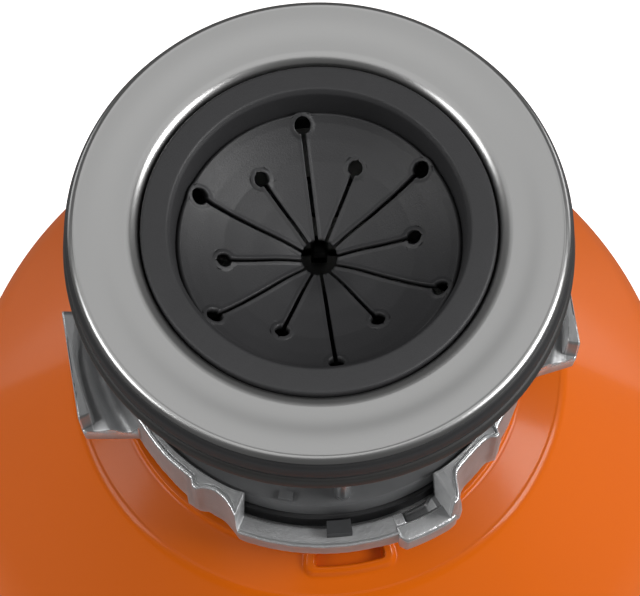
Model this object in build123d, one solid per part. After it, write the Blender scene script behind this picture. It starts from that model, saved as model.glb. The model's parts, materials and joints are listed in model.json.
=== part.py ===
"""Food waste disposer with a three-ear quick-lock sink mount. Millimetres, +Z up.

The origin is the centre of the base's flat underside. The discharge faces -Y.
"""

import math
import os

from build123d import *

# ---------------------------------------------------------------- driving sizes
THROAT_R = 41.0      # inside of the sink flange's tube
BODY_R = 104.0       # outside of the shells
BODY_H = 263.4       # base underside to the top of the upper shell
SHAFT_R = 6.35       # motor shaft
OUTLET_R = 17.5      # bore of the discharge
INLET_R = 11.0       # outside of the dishwasher inlet
SHELL_T = 2.5        # wall of the shells
MOUNT_H = 86.6       # top of the upper shell to the top of the sink flange

# ---------------------------------------------------------------- derived sizes
TOP = BODY_H + MOUNT_H                  # top of the sink flange
NECK_R = THROAT_R + 4.0                 # outside of the grind chamber's neck
STEP_R = THROAT_R + 12.2                # step on top of the upper shell
PLATEAU_R = THROAT_R + 25.2             # where the plateau turns down
SLOPE = math.tan(math.radians(53.45))
CORNER_Z = TOP - 92.0 - (BODY_R - PLATEAU_R) * SLOPE
SEAM_Z = CORNER_Z - 25.0                # joint between the two shells
BOLT_R = BODY_R - 19.0                  # circle of the through bolts
CHAMBER_R = BOLT_R - 7.0                # outside of the grind chamber
SPLIT_Z = BODY_H * 0.62                 # joint between grind and drain chambers
DRAIN_H = 2 * OUTLET_R + 16.0
FLOOR_Z = SPLIT_Z - DRAIN_H             # underside of the drain chamber
OUT_Z = FLOOR_Z + 6.0 + OUTLET_R        # height of the discharge axis
FACE_Y = BODY_R + 3.0                   # bolted face of the discharge
INLET_Z = CORNER_Z + 5.0
PLATE_Z = SPLIT_Z + 4.0                 # underside of the turntable
RING_R = CHAMBER_R - 9.0                # inside of the grind ring
LUG_R = RING_R * 0.65                   # pivot circle of the swivel lugs
FRAME_Z = 30.0                          # top of the lower end frame
CAN_R = BODY_R - 34.0                   # outside of the motor can
STATOR_R = CAN_R - 1.8
ROTOR_R = STATOR_R * 0.5
STACK_LO = FRAME_Z + 21.0
STACK_HI = FLOOR_Z - 21.3
BOLT_ANGLES = (45, 135, 225, 315)
WINDOWS = (37, 157, 277)                # gaps between the lock ring's ramps
HALF_WINDOW = 27.85

UP = (Align.CENTER, Align.CENTER, Align.MIN)


# --------------------------------------------------------------------- helpers
def turned(points, arc=360, start=0):
    """Revolve a closed (r, z) profile about Z."""
    wire = Polyline(*[(r, 0, z) for r, z in points], close=True)
    return Rot(0, 0, start) * revolve(make_face(wire), Axis.Z, arc)


def turned_soft(points, radii):
    """Revolve a closed (r, z) profile whose corners are rounded."""
    wire = FilletPolyline(*[(r, 0, z) for r, z in points], radius=radii, close=True)
    return revolve(make_face(wire), Axis.Z, 360)


def ring(r_in, r_out, z_lo, z_hi):
    return turned([(r_in, z_lo), (r_out, z_lo), (r_out, z_hi), (r_in, z_hi)])


def disc(r, z_lo, z_hi):
    return Pos(0, 0, z_lo) * Cylinder(r, z_hi - z_lo, align=UP)


def sector(r_in, r_out, z_lo, z_hi, a_lo, a_hi):
    points = [(r_in, z_lo), (r_out, z_lo), (r_out, z_hi), (r_in, z_hi)]
    return turned(points, a_hi - a_lo, a_lo)


def at(angle, r, shape):
    """Put a shape at radius r on the ray at this angle."""
    return Rot(0, 0, angle) * Pos(r, 0, 0) * shape


def pipe_y(r, y_lo, y_hi, z):
    """A cylinder along Y."""
    return Pos(0, y_lo, z) * Rot(-90, 0, 0) * Cylinder(r, y_hi - y_lo, align=UP)


def slab(x, y, z_lo, z_hi, dx, dy):
    return Pos(x, y, z_lo) * Box(dx, dy, z_hi - z_lo, align=UP)


def solids(shapes):
    """Separate solids that share one node."""
    return Compound(children=[s for shape in shapes for s in shape.solids()])


def joined(shapes):
    total = shapes[0]
    for shape in shapes[1:]:
        total += shape
    return total


# ------------------------------------------------------------------ sink mount
def sink_flange():
    rim = THROAT_R + 16.15
    wall = THROAT_R + 1.6
    end = TOP - 64.0
    points = [(rim, TOP), (THROAT_R, TOP - 1.3), (THROAT_R, end), (wall, end),
              (wall, TOP - 2.9), (rim, TOP - 1.6)]
    body = turned_soft(points, [0.7, 4.0, 0.3, 0.3, 2.4, 0.7])
    bead = ring(THROAT_R - 1.0, THROAT_R + 0.2, TOP - 33.0, TOP - 31.0)
    groove = ring(THROAT_R + 1.0, THROAT_R + 3.0, TOP - 63.0, TOP - 61.0)
    return body + bead - groove


def flange_gasket():
    lo, hi = THROAT_R + 5.0, THROAT_R + 16.9
    slope = 1.3 / 14.55
    top_lo = TOP - 1.62 - (THROAT_R + 16.15 - lo) * slope
    return turned([(lo, TOP - 8.8), (hi + 0.3, TOP - 8.8), (hi + 0.3, TOP - 2.6),
                   (hi - 0.4, TOP - 1.9), (THROAT_R + 16.15, TOP - 1.65), (lo, top_lo)])


def lower_gasket():
    lo, hi = THROAT_R + 2.2, THROAT_R + 18.1
    return turned([(lo, TOP - 13.5), (hi - 0.5, TOP - 13.5), (hi, TOP - 13.0),
                   (hi, TOP - 9.3), (hi - 0.5, TOP - 8.8), (lo, TOP - 8.8)])


def backup_ring():
    return ring(THROAT_R + 2.2, THROAT_R + 15.0, TOP - 16.0, TOP - 13.5)


def mounting_ring():
    r = THROAT_R
    body = turned([(r + 2.0, TOP - 61.0), (r + 8.25, TOP - 61.0), (r + 8.25, TOP - 64.4),
                   (r + 9.0, TOP - 64.4), (r + 9.0, TOP - 57.4), (r + 8.6, TOP - 57.0),
                   (r + 2.0, TOP - 57.0)])
    for window in WINDOWS:
        mid = window + 60
        body += sector(r + 8.8, r + 10.6, TOP - 60.3, TOP - 57.6, mid - 20, mid + 20)
        body -= at(window, r + 5.9, disc(2.1, TOP - 62, TOP - 50))
    tab = sector(r + 6.2, r + 8.3, TOP - 57.2, TOP - 55.6, 258.4, 262.4)
    return body + tab


def mounting_screws():
    shape = disc(2.1, TOP - 62.6, TOP - 16.0) - slab(0, 0, TOP - 63.5, TOP - 61.6, 6, 0.9)
    return solids([at(a, THROAT_R + 5.9, shape) for a in WINDOWS])


def snap_ring():
    full = ring(THROAT_R + 1.0, THROAT_R + 3.5, TOP - 63.0, TOP - 61.0)
    return full - slab(0, THROAT_R + 2, TOP - 65, TOP - 59, 5, 8)


def splash_baffle():
    r = THROAT_R - 0.5
    body = turned([(r, TOP - 2.0), (r - 6.1, TOP - 2.0), (r - 7.8, TOP - 3.6),
                   (r - 8.3, TOP - 11.6), (r - 9.5, TOP - 13.3), (r - 17.5, TOP - 17.8),
                   (4.5, TOP - 22.5), (4.5, TOP - 24.5), (r - 17.3, TOP - 20.0),
                   (r - 8.9, TOP - 15.6), (r - 6.1, TOP - 13.0), (r - 5.5, TOP - 4.4),
                   (r - 2.1, TOP - 4.4), (r - 2.1, TOP - 30.5), (r, TOP - 30.5)])
    for i in range(6):
        for angle, reach, hole in ((37.5, r - 9.6, 1.7), (7.5, r - 17.5, 1.5)):
            slit = slab(reach / 2, 0, TOP - 27, TOP - 11.8, reach, 0.9)
            end = Pos(reach, 0, 0) * disc(hole, TOP - 27, TOP - 11.8)
            body -= Rot(0, 0, angle + 60 * i) * (slit + end)
    return body


# ------------------------------------------------------------------- lock ring
def lock_wing(a_lo, a_hi):
    """The pieces of a cast loop beside the ring."""
    r = THROAT_R
    pieces = [
        turned([(r + 11.2, TOP - 72.0), (r + 22.0, TOP - 72.0), (r + 22.0, TOP - 61.0),
                (r + 16.0, TOP - 64.5), (r + 11.2, TOP - 61.5)], a_hi - a_lo, a_lo),
        sector(r + 20.8, r + 23.6, TOP - 70.0, TOP - 55.0, a_lo + 0.5, a_hi - 0.5),
    ]
    for end in (a_lo - 1.5, a_hi - 1.5):
        pieces.append(turned([(r + 11.4, TOP - 71.5), (r + 23.2, TOP - 69.5),
                              (r + 23.2, TOP - 55.5), (r + 20.0, TOP - 55.5),
                              (r + 11.4, TOP - 62.0)], 3.0, end))
    return pieces


def lock_web(a_lo, arc, r_top, r_low):
    """A plate across the end of a raised wall, open below the hook so the ears can pass."""
    r = THROAT_R
    return turned([(r + 9.6, TOP - 54.1), (r_top, TOP - 54.3), (r_low, TOP - 68.8),
                   (r + 13.4, TOP - 68.8), (r + 13.4, TOP - 66.0), (r + 11.2, TOP - 56.6),
                   (r + 9.6, TOP - 56.3)], arc, a_lo)


def lock_ramp(lo, hi):
    """A raised wall whose hook passes over the mounting ring's ears, with a web at each end."""
    r = THROAT_R
    pieces = [turned([(r + 11.1, TOP - 70.0), (r + 12.1, TOP - 70.0), (r + 12.1, TOP - 54.4),
                      (r + 11.7, TOP - 54.0), (r + 9.4, TOP - 54.0), (r + 9.4, TOP - 56.4),
                      (r + 11.1, TOP - 56.4)], hi - lo, lo)]
    for edge in (lo - 0.1, hi - 1.6):
        pieces.append(lock_web(edge, 1.7, r + 15.8, r + 16.2))
    return pieces


def lock_ring():
    r = THROAT_R
    body = turned([(r + 5.2, TOP - 75.0), (r + 11.7, TOP - 75.0), (r + 12.3, TOP - 74.3),
                   (r + 12.3, TOP - 67.6), (r + 11.9, TOP - 67.0), (r + 10.5, TOP - 67.0),
                   (r + 10.5, TOP - 72.2), (r + 5.2, TOP - 72.2)])
    pieces = []
    for window in WINDOWS:
        pieces.append(turned([(r + 11.4, TOP - 74.9), (r + 15.7, TOP - 74.9), (r + 16.4, TOP - 74.1),
                              (r + 16.4, TOP - 67.8), (r + 15.7, TOP - 67.1), (r + 11.4, TOP - 67.1)],
                             2 * HALF_WINDOW + 1.0, window - HALF_WINDOW - 0.5))
        pieces += lock_ramp(window + HALF_WINDOW, window + 120 - HALF_WINDOW)
    pieces += [
        sector(r + 15.0, r + 20.3, TOP - 74.4, TOP - 67.2, 289.6, 306.0),
        lock_web(302.6, 2.4, r + 18.6, r + 19.0),
        sector(r + 13.8, r + 18.4, TOP - 68.2, TOP - 55.0, 304.8, 306.0),
        sector(r + 11.3, r + 16.0, TOP - 68.5, TOP - 66.2, 285.5, 286.1),
        sector(r + 11.3, r + 16.0, TOP - 68.5, TOP - 66.2, 287.6, 288.2),
        sector(r + 11.8, r + 13.9, TOP - 69.5, TOP - 54.6, 236.0, 248.0),
        sector(r + 11.8, r + 13.9, TOP - 69.5, TOP - 54.6, 320.8, 324.2),
        sector(r + 11.8, r + 14.6, TOP - 69.5, TOP - 57.0, 333.0, 340.0),
    ]
    pieces += lock_wing(179, 209.5) + lock_wing(352, 382)
    for piece in pieces:
        body = body.fuse(piece)
    body -= sector(r + 11.6, r + 14.4, TOP - 72.0, TOP - 60.0, 293.0, 300.5)
    for a in (196, 369):
        body -= at(a, r + 16.8, disc(2.4, TOP - 80, TOP - 50))
    return body


def detent_block():
    return sector(THROAT_R + 10.9, THROAT_R + 14.2, TOP - 67.0, TOP - 63.6, 272.0, 278.5)


def mount_cushion():
    r = THROAT_R
    return turned([(r + 0.5, TOP - 69.3), (r + 0.5, TOP - 64.0), (r + 3.4, TOP - 64.0),
                   (r + 3.4, TOP - 64.8), (r + 9.4, TOP - 64.8), (r + 9.9, TOP - 65.3),
                   (r + 9.9, TOP - 71.6), (r + 8.4, TOP - 71.6), (r + 8.4, TOP - 69.3)])


# --------------------------------------------------------------- grind chamber
def upper_chamber():
    r = THROAT_R
    body = turned([(r + 0.5, TOP - 69.3), (r + 8.4, TOP - 69.3), (r + 8.4, TOP - 71.8),
                   (NECK_R, TOP - 71.8), (NECK_R, TOP - 89.1), (NECK_R + 6, TOP - 89.1),
                   (NECK_R + 9, TOP - 91.5), (CHAMBER_R, CORNER_Z + 17.0),
                   (CHAMBER_R, SPLIT_Z + 6), (BOLT_R + 7, SPLIT_Z + 6), (BOLT_R + 7, SPLIT_Z),
                   (CHAMBER_R - 4, SPLIT_Z), (CHAMBER_R - 4, CORNER_Z + 15.0),
                   (NECK_R + 3, TOP - 95.0), (r + 0.5, TOP - 88.0)])
    body += pipe_y(INLET_R + 2, CHAMBER_R - 2, BODY_R + 0.5, INLET_Z)
    body += pipe_y(INLET_R, BODY_R, BODY_R + 18, INLET_Z)
    body -= pipe_y(INLET_R - 2.5, CHAMBER_R - 12, BODY_R + 20, INLET_Z)
    for a in BOLT_ANGLES:
        body -= at(a, BOLT_R, disc(2.5, SPLIT_Z - 1, SPLIT_Z + 7))
    return body


def knockout_plug():
    return pipe_y(INLET_R - 2.5, CHAMBER_R + 1, CHAMBER_R + 3.5, INLET_Z)


def chamber_seal():
    return ring(CHAMBER_R + 1.0, CHAMBER_R + 3.0, SPLIT_Z - 1.2, SPLIT_Z)


def grind_ring():
    body = ring(RING_R, CHAMBER_R - 4.0, SPLIT_Z, SPLIT_Z + 34.0)
    for i in range(24):
        notch = slab(RING_R + 0.6, 0, SPLIT_Z - 1, SPLIT_Z + 20.0, 4.4, 3.6)
        body -= Rot(0, 0, 15 * i) * notch
    return body


def turntable():
    r = RING_R - 1.2
    body = disc(r, PLATE_Z, PLATE_Z + 3.0) + disc(12.0 + SHAFT_R - 6.35, PLATE_Z - 8.0, PLATE_Z)
    body += ring(r - 4.0, r, PLATE_Z - 3.0, PLATE_Z)
    body -= disc(SHAFT_R, PLATE_Z - 9, PLATE_Z + 4)
    for i in range(8):
        body -= at(22.5 + 45 * i, r - 9.0, disc(3.2, PLATE_Z - 1, PLATE_Z + 4))
        body -= at(45 * i, r, slab(0, 0, PLATE_Z - 4, PLATE_Z + 4, 5.0, 5.0))
    for a in (0, 180):
        body -= at(a, LUG_R, disc(4.0, PLATE_Z - 1, PLATE_Z + 4))
    return body


def swivel_lug(angle):
    half = min(19.0, RING_R - LUG_R - 4.0)
    blank = extrude(SlotOverall(2 * half, 14.0), 8.0)
    nose = Pos(half - 3.0, 0, 0) * Box(6.0, 12.0, 11.0, align=UP)
    lug = Pos(0, 0, PLATE_Z + 3.4) * (blank + nose)
    lug -= disc(4.35, PLATE_Z, PLATE_Z + 20)
    return at(angle, LUG_R, Rot(0, 0, 35) * lug)


def lug_rivets():
    shank = disc(4.0, PLATE_Z, PLATE_Z + 11.8)
    head = Pos(0, 0, PLATE_Z + 11.8) * Cone(6.8, 4.6, 2.4, align=UP)
    return solids([at(a, LUG_R, shank + head) for a in (0, 180)])


def turntable_nut():
    nut = Pos(0, 0, PLATE_Z + 3.0) * extrude(RegularPolygon(SHAFT_R + 4.2, 6), 6.0)
    return nut - disc(SHAFT_R, PLATE_Z, PLATE_Z + 12)


# --------------------------------------------------------------- drain chamber
def drain_chamber():
    hub = SHAFT_R + 10.65
    out = CHAMBER_R - 4.0
    body = turned([(out - 4, SPLIT_Z), (BOLT_R + 7, SPLIT_Z), (BOLT_R + 7, SPLIT_Z - 5),
                   (out, SPLIT_Z - 5), (out, FLOOR_Z + 4), (out - 4, FLOOR_Z),
                   (hub, FLOOR_Z), (hub, FLOOR_Z - 13), (SHAFT_R + 4.65, FLOOR_Z - 13),
                   (SHAFT_R + 4.65, FLOOR_Z + 4), (SHAFT_R + 7.65, FLOOR_Z + 4),
                   (SHAFT_R + 7.65, FLOOR_Z + 12), (hub, FLOOR_Z + 12),
                   (hub + 4, FLOOR_Z + 5), (out - 8, FLOOR_Z + 5), (out - 4, FLOOR_Z + 9)])
    body -= ring(CHAMBER_R + 1.0, CHAMBER_R + 3.0, SPLIT_Z - 1.2, SPLIT_Z + 1)
    body += pipe_y(OUTLET_R + 4.5, -FACE_Y, -(out - 2), OUT_Z)
    body += pipe_y(OUTLET_R + 13.5, -FACE_Y, -FACE_Y + 5, OUT_Z)
    body -= pipe_y(OUTLET_R, -FACE_Y - 1, -(out - 12), OUT_Z)
    for x in (-1, 1):
        body -= Pos(x * (OUTLET_R + 8.5), 0, 0) * pipe_y(2.9, -FACE_Y - 1, -FACE_Y + 6, OUT_Z)
    for a in BOLT_ANGLES:
        body -= at(a, BOLT_R, disc(2.8, SPLIT_Z - 7, SPLIT_Z + 1))
    return body


def shaft_seal():
    return ring(SHAFT_R + 0.05, SHAFT_R + 7.65, FLOOR_Z + 4, FLOOR_Z + 11.5)


def slinger():
    return turned([(SHAFT_R, FLOOR_Z + 13.5), (SHAFT_R + 7.5, FLOOR_Z + 13.0),
                   (SHAFT_R + 7.5, FLOOR_Z + 14.2), (SHAFT_R + 3.0, FLOOR_Z + 16.5),
                   (SHAFT_R, FLOOR_Z + 16.5)])


def upper_bearing():
    return ring(SHAFT_R + 0.04, SHAFT_R + 4.65, FLOOR_Z - 13, FLOOR_Z + 4)


def discharge_gasket():
    seal = pipe_y(OUTLET_R + 5.0, -FACE_Y - 3.0, -FACE_Y, OUT_Z)
    return seal - pipe_y(OUTLET_R, -FACE_Y - 5, -FACE_Y + 2, OUT_Z)


def discharge_elbow():
    r_out, r_in = OUTLET_R + 1.55, OUTLET_R - 0.5
    bend = OUTLET_R * 2.0
    y0 = FACE_Y + 3.0
    path = FilletPolyline((0, -y0, OUT_Z), (0, -y0 - 10 - bend, OUT_Z),
                          (0, -y0 - 10 - bend, OUT_Z - bend - 42), radius=bend)
    start = Plane((0, -y0, OUT_Z), x_dir=(1, 0, 0), z_dir=(0, -1, 0))
    outer = sweep(start * Circle(r_out), path=path)
    inner = sweep(start * Circle(r_in), path=path)
    collar = pipe_y(OUTLET_R + 5.0, -y0 - 4.0, -y0, OUT_Z)
    bore = pipe_y(r_in, -y0 - 5.0, -y0 + 1, OUT_Z)
    return outer + collar - inner - bore


def discharge_plate():
    y0 = FACE_Y + 7.0
    plate = pipe_y(OUTLET_R + 13.5, -y0 - 2.5, -y0, OUT_Z)
    trim = Pos(0, -y0 - 1.25, OUT_Z) * Box(2 * OUTLET_R + 30, 6, 2 * OUTLET_R + 12)
    plate = plate & trim
    plate -= pipe_y(OUTLET_R + 1.8, -y0 - 4, -y0 + 2, OUT_Z)
    for x in (-1, 1):
        plate -= Pos(x * (OUTLET_R + 8.5), 0, 0) * pipe_y(2.9, -y0 - 4, -y0 + 2, OUT_Z)
    return plate


def discharge_bolts():
    y0 = FACE_Y + 9.5
    shank = pipe_y(2.9, -y0, -FACE_Y + 7.0, OUT_Z)
    head_at = Pos(0, -y0, OUT_Z) * Rot(90, 0, 0)
    head = head_at * extrude(RegularPolygon(5.4, 6), 3.8)
    bolt = shank + head
    x = OUTLET_R + 8.5
    return solids([Pos(-x, 0, 0) * bolt, Pos(x, 0, 0) * bolt])


# ----------------------------------------------------------------------- motor
def motor_shaft():
    low = FRAME_Z - 7.0
    body = disc(SHAFT_R, low, PLATE_Z + 11.0)
    return body - disc(2.2, PLATE_Z + 8.0, PLATE_Z + 12.0)


def rotor_core():
    body = ring(SHAFT_R, ROTOR_R, STACK_LO, STACK_HI)
    for i in range(20):
        body -= at(18 * i, ROTOR_R - 4.0, disc(2.0, STACK_LO - 1, STACK_HI + 1))
    return body


def rotor_cage():
    body = ring(ROTOR_R - 9.0, ROTOR_R - 1.0, STACK_LO - 6, STACK_LO)
    body += ring(ROTOR_R - 9.0, ROTOR_R - 1.0, STACK_HI, STACK_HI + 6)
    for i in range(20):
        body += at(18 * i, ROTOR_R - 4.0, disc(2.0, STACK_LO, STACK_HI))
    for i in range(10):
        body += at(36 * i, ROTOR_R - 5.0, slab(0, 0, STACK_HI + 5.5, STACK_HI + 10, 6, 1.6))
    return body


def stator_core():
    body = ring(ROTOR_R + 0.6, STATOR_R, STACK_LO, STACK_HI)
    depth = (STATOR_R - ROTOR_R) * 0.5
    for i in range(18):
        mid = ROTOR_R + 4.0 + depth / 2
        slot = slab(mid, 0, STACK_LO - 1, STACK_HI + 1, depth, ROTOR_R * 0.16)
        mouth = slab(ROTOR_R + 3.0, 0, STACK_LO - 1, STACK_HI + 1, 6.0, 2.0)
        body -= Rot(0, 0, 20 * i) * (slot + mouth)
    return body


def stator_windings():
    depth = (STATOR_R - ROTOR_R) * 0.5
    lo, hi = ROTOR_R + 4.6, ROTOR_R + 3.4 + depth
    body = joined([coil(lo, hi, STACK_LO - 12, STACK_LO - 0.6),
                   coil(lo, hi, STACK_HI + 0.6, STACK_HI + 12)])
    for i in range(18):
        bar = slab((lo + hi) / 2, 0, STACK_LO - 3, STACK_HI + 3, hi - lo, ROTOR_R * 0.16 - 1.0)
        body += Rot(0, 0, 20 * i) * bar
    return body


def coil(lo, hi, z_lo, z_hi):
    cut = 2.6
    return turned([(lo, z_lo + cut), (lo + cut, z_lo), (hi - cut, z_lo), (hi, z_lo + cut),
                   (hi, z_hi - cut), (hi - cut, z_hi), (lo + cut, z_hi), (lo, z_hi - cut)])


def motor_can():
    return ring(STATOR_R, CAN_R, FRAME_Z, FLOOR_Z)


def lower_end_frame():
    hub = SHAFT_R + 8.0
    body = ring(SHAFT_R + 4.65, hub, FRAME_Z - 10, FRAME_Z + 9)
    body += ring(hub - 1, CAN_R + 2, FRAME_Z - 6, FRAME_Z)
    body += disc(hub, FRAME_Z - 13, FRAME_Z - 10)
    for a in BOLT_ANGLES:
        arm = Rot(0, 0, a) * slab((CAN_R + BOLT_R) / 2, 0, FRAME_Z - 6, FRAME_Z,
                                  BOLT_R - CAN_R + 4, 14)
        body += arm + at(a, BOLT_R, disc(7, FRAME_Z - 6, FRAME_Z))
        body -= at(a, BOLT_R, disc(2.8, FRAME_Z - 9, FRAME_Z + 2))
    for a in (30, 150, 270):
        body += at(a, CAN_R - 10, disc(6, 5, FRAME_Z - 5))
        body -= at(a, CAN_R - 10, disc(2.0, 4, 18))
    body -= at(90, CAN_R - 12, disc(2.0, FRAME_Z - 8, FRAME_Z + 1))
    for i in range(12):
        body -= Rot(0, 0, 15 + 30 * i) * slab(CAN_R - 28, 0, FRAME_Z - 8, FRAME_Z + 2, 14, 6)
    return body


def lower_bearing():
    return ring(SHAFT_R + 0.04, SHAFT_R + 4.65, FRAME_Z - 8, FRAME_Z + 9)


def thrust_disc():
    return disc(SHAFT_R + 3.0, FRAME_Z - 10, FRAME_Z - 8)


def through_bolts():
    shank = disc(2.5, FRAME_Z - 6, SPLIT_Z + 5.5)
    head = Pos(0, 0, FRAME_Z - 10.5) * extrude(RegularPolygon(5.2, 6), 4.5)
    return solids([at(a, BOLT_R, shank + head) for a in BOLT_ANGLES])


def start_capacitor():
    r = 12.5
    x = CAN_R + 3 + r
    can = Pos(x, 0, 0) * disc(r, FRAME_Z + 2, FRAME_Z + 50)
    can += Pos(x, 0, 0) * disc(r - 1.5, FRAME_Z + 49, FRAME_Z + 52)
    for y in (-5, 5):
        can += slab(x, y, FRAME_Z + 51, FRAME_Z + 58, 0.8, 6)
    return can


def capacitor_strap():
    x = CAN_R + 15.5
    body = Pos(x, 0, 0) * ring(12.5, 13.9, FRAME_Z + 22, FRAME_Z + 34)
    foot = slab(CAN_R + 1.2, 0, FRAME_Z + 22, FRAME_Z + 34, 2.4, 34)
    foot -= disc(CAN_R, FRAME_Z + 20, FRAME_Z + 36)
    return body + (foot - Pos(x, 0, 0) * disc(12.5, FRAME_Z, FRAME_Z + 60))


def start_relay():
    body = slab(-CAN_R - 9, 0, FRAME_Z + 20, FRAME_Z + 50, 18, 30)
    for y in (-9, 0, 9):
        body += slab(-CAN_R - 9, y, FRAME_Z + 49, FRAME_Z + 56, 6, 0.8)
    return body


def button_place():
    angle = math.radians(195)
    r = CAN_R + 13.0
    return Pos(r * math.cos(angle), r * math.sin(angle), 0)


def overload_protector():
    body = slab(-0.5, 0, 16, 40, 21, 16) - disc(4.4, 15, 24)
    for x in (-6, 6):
        body += slab(x, 0, 39, 46, 6, 0.8)
    return button_place() * Rot(0, 0, 195) * body


def reset_button():
    return button_place() * (disc(4.0, 1.2, 20.0) + disc(5.4, 12.0, 13.6))


def ground_screw():
    body = disc(2.0, FRAME_Z - 10, FRAME_Z - 1) + disc(4.2, FRAME_Z - 9.5, FRAME_Z - 6)
    return at(90, CAN_R - 12, body)


# -------------------------------------------------------------- shells and base
def shell_openings():
    """Ways through the shells for the dishwasher inlet and the discharge."""
    inlet = pipe_y(INLET_R + 5.0, 30, BODY_R + 30, INLET_Z)
    outlet = pipe_y(OUTLET_R + 15.5, -BODY_R - 30, -CHAMBER_R - 8, OUT_Z)
    return inlet + outlet


def upper_shell():
    r, t = BODY_R, SHELL_T
    z1, z2 = TOP - MOUNT_H, TOP - 92.0
    top = [(NECK_R + 2, z1), (STEP_R, z1), (STEP_R, z1 - 0.9), (PLATEAU_R, z2),
           (r, CORNER_Z), (r, SEAM_Z + 0.4)]
    low = [(r - t, SEAM_Z + 0.4), (r - t, CORNER_Z - 1.3), (PLATEAU_R - 1.2, z2 - t - 0.5),
           (STEP_R - 0.4, z1 - t), (NECK_R + 2, z1 - t)]
    soft = [0, 0.5, 0.3, 3.0, 50.0, 0, 0, 50.0 - t, 1.5, 0, 0]
    body = turned_soft(top + low, soft)
    frame = sector(STEP_R - 0.5, STEP_R + 6.3, z1 - 4.0, z1 - 0.9, 266.5, 289.5)
    slot = sector(STEP_R + 0.9, STEP_R + 3.3, z1 - 9.0, z1 + 2.0, 269.0, 287.4)
    return body + frame - slot - shell_openings()


def lower_shell():
    r, t = BODY_R, SHELL_T
    body = turned_soft([(r, SEAM_Z), (r, 8.0), (r - 10, 8.0), (r - 10, 8.0 + t),
                        (r - t, 8.0 + t), (r - t, SEAM_Z - 6), (r - t - 2.2, SEAM_Z - 6),
                        (r - t - 2.2, SEAM_Z + 6), (r - t, SEAM_Z + 6),
                        (r - t, SEAM_Z)],
                       [0, 7.0, 0, 0, 4.5, 0, 0, 0, 0, 0])
    return body - shell_openings()


def sound_liner():
    lo, hi = CHAMBER_R, BODY_R - 6.0
    z_lo = SPLIT_Z + 8.0
    top = CORNER_Z + (BODY_R - lo) * SLOPE - 7.0
    body = turned([(lo, z_lo), (hi, z_lo), (hi, CORNER_Z - 13.0), (hi - 3.5, CORNER_Z + 1.5),
                   (hi - 7.0, CORNER_Z + 8.5), (lo, top)])
    for a in BOLT_ANGLES:
        body -= at(a, BOLT_R, disc(4.0, z_lo - 1, z_lo + 2))
    return body - shell_openings()


def base_cap():
    r = BODY_R
    body = turned([(0, 0), (r - 8, 0), (r - 5, 3), (r - 5, 8.0), (r - 10.4, 8.0),
                   (r - 10.4, 15), (r - 13, 15), (r - 13, 5), (0, 5)])
    for i in range(24):
        body -= Rot(0, 0, 15 * i) * slab(38, 0, -1, 6, 16, 3)
    for a in (30, 150, 270):
        body -= at(a, CAN_R - 10, disc(2.3, -1, 6) + disc(4.6, -1, 3.2))
    body -= button_place() * disc(6.2, -1, 6)
    body -= slab(0, CAN_R + 3, -1, 3.0, 46.6, 30.6)
    body -= slab(0, CAN_R + 3, -1, 6.0, 36, 22)
    return body


def base_screws():
    body = disc(2.0, 3.0, 16.0) + disc(4.2, 0.8, 3.2)
    body -= slab(0, 0, 0, 1.8, 6, 1.0)
    return solids([at(a, CAN_R - 10, body) for a in (30, 150, 270)])


def wiring_cover():
    body = slab(0, CAN_R + 3, 1.5, 3.0, 46, 30)
    return body - Pos(0, CAN_R + 3, 0) * disc(8.6, 0, 5)


def cord_bushing():
    body = ring(6.5, 8.6, 1.5, 13.0) + ring(6.5, 10.6, 0.3, 1.5) + ring(6.5, 9.6, 3.0, 4.2)
    return Pos(0, CAN_R + 3, 0) * body


# ----------------------------------------------------------------------- output
PARTS = {
    "sink_flange": sink_flange,
    "flange_gasket": flange_gasket,
    "lower_gasket": lower_gasket,
    "backup_ring": backup_ring,
    "mounting_ring": mounting_ring,
    "mounting_screws": mounting_screws,
    "snap_ring": snap_ring,
    "splash_baffle": splash_baffle,
    "lock_ring": lock_ring,
    "detent_block": detent_block,
    "mount_cushion": mount_cushion,
    "upper_chamber": upper_chamber,
    "knockout_plug": knockout_plug,
    "chamber_seal": chamber_seal,
    "grind_ring": grind_ring,
    "turntable": turntable,
    "swivel_lug_a": lambda: swivel_lug(0),
    "swivel_lug_b": lambda: swivel_lug(180),
    "lug_rivets": lug_rivets,
    "turntable_nut": turntable_nut,
    "drain_chamber": drain_chamber,
    "shaft_seal": shaft_seal,
    "slinger": slinger,
    "upper_bearing": upper_bearing,
    "discharge_gasket": discharge_gasket,
    "discharge_elbow": discharge_elbow,
    "discharge_plate": discharge_plate,
    "discharge_bolts": discharge_bolts,
    "motor_shaft": motor_shaft,
    "rotor_core": rotor_core,
    "rotor_cage": rotor_cage,
    "stator_core": stator_core,
    "stator_windings": stator_windings,
    "motor_can": motor_can,
    "lower_end_frame": lower_end_frame,
    "lower_bearing": lower_bearing,
    "thrust_disc": thrust_disc,
    "through_bolts": through_bolts,
    "start_capacitor": start_capacitor,
    "capacitor_strap": capacitor_strap,
    "start_relay": start_relay,
    "overload_protector": overload_protector,
    "reset_button": reset_button,
    "ground_screw": ground_screw,
    "upper_shell": upper_shell,
    "lower_shell": lower_shell,
    "sound_liner": sound_liner,
    "base_cap": base_cap,
    "base_screws": base_screws,
    "wiring_cover": wiring_cover,
    "cord_bushing": cord_bushing,
}

os.makedirs("parts", exist_ok=True)
for name, make in PARTS.items():
    export_step(make(), "parts/" + name + ".step")
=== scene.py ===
# %% [markdown]
# # A kitchen food waste disposer
# The steel sink flange, the slotted rubber baffle, the gaskets, the cast lock ring and the glossy
# orange upper shell are made here as surfaces worked out with numpy. Hidden working parts keep their exact
# engineering shapes and only get a finish. Everything is in metres, with +Z up and the origin under
# the middle of the base.

import json
import math

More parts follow.
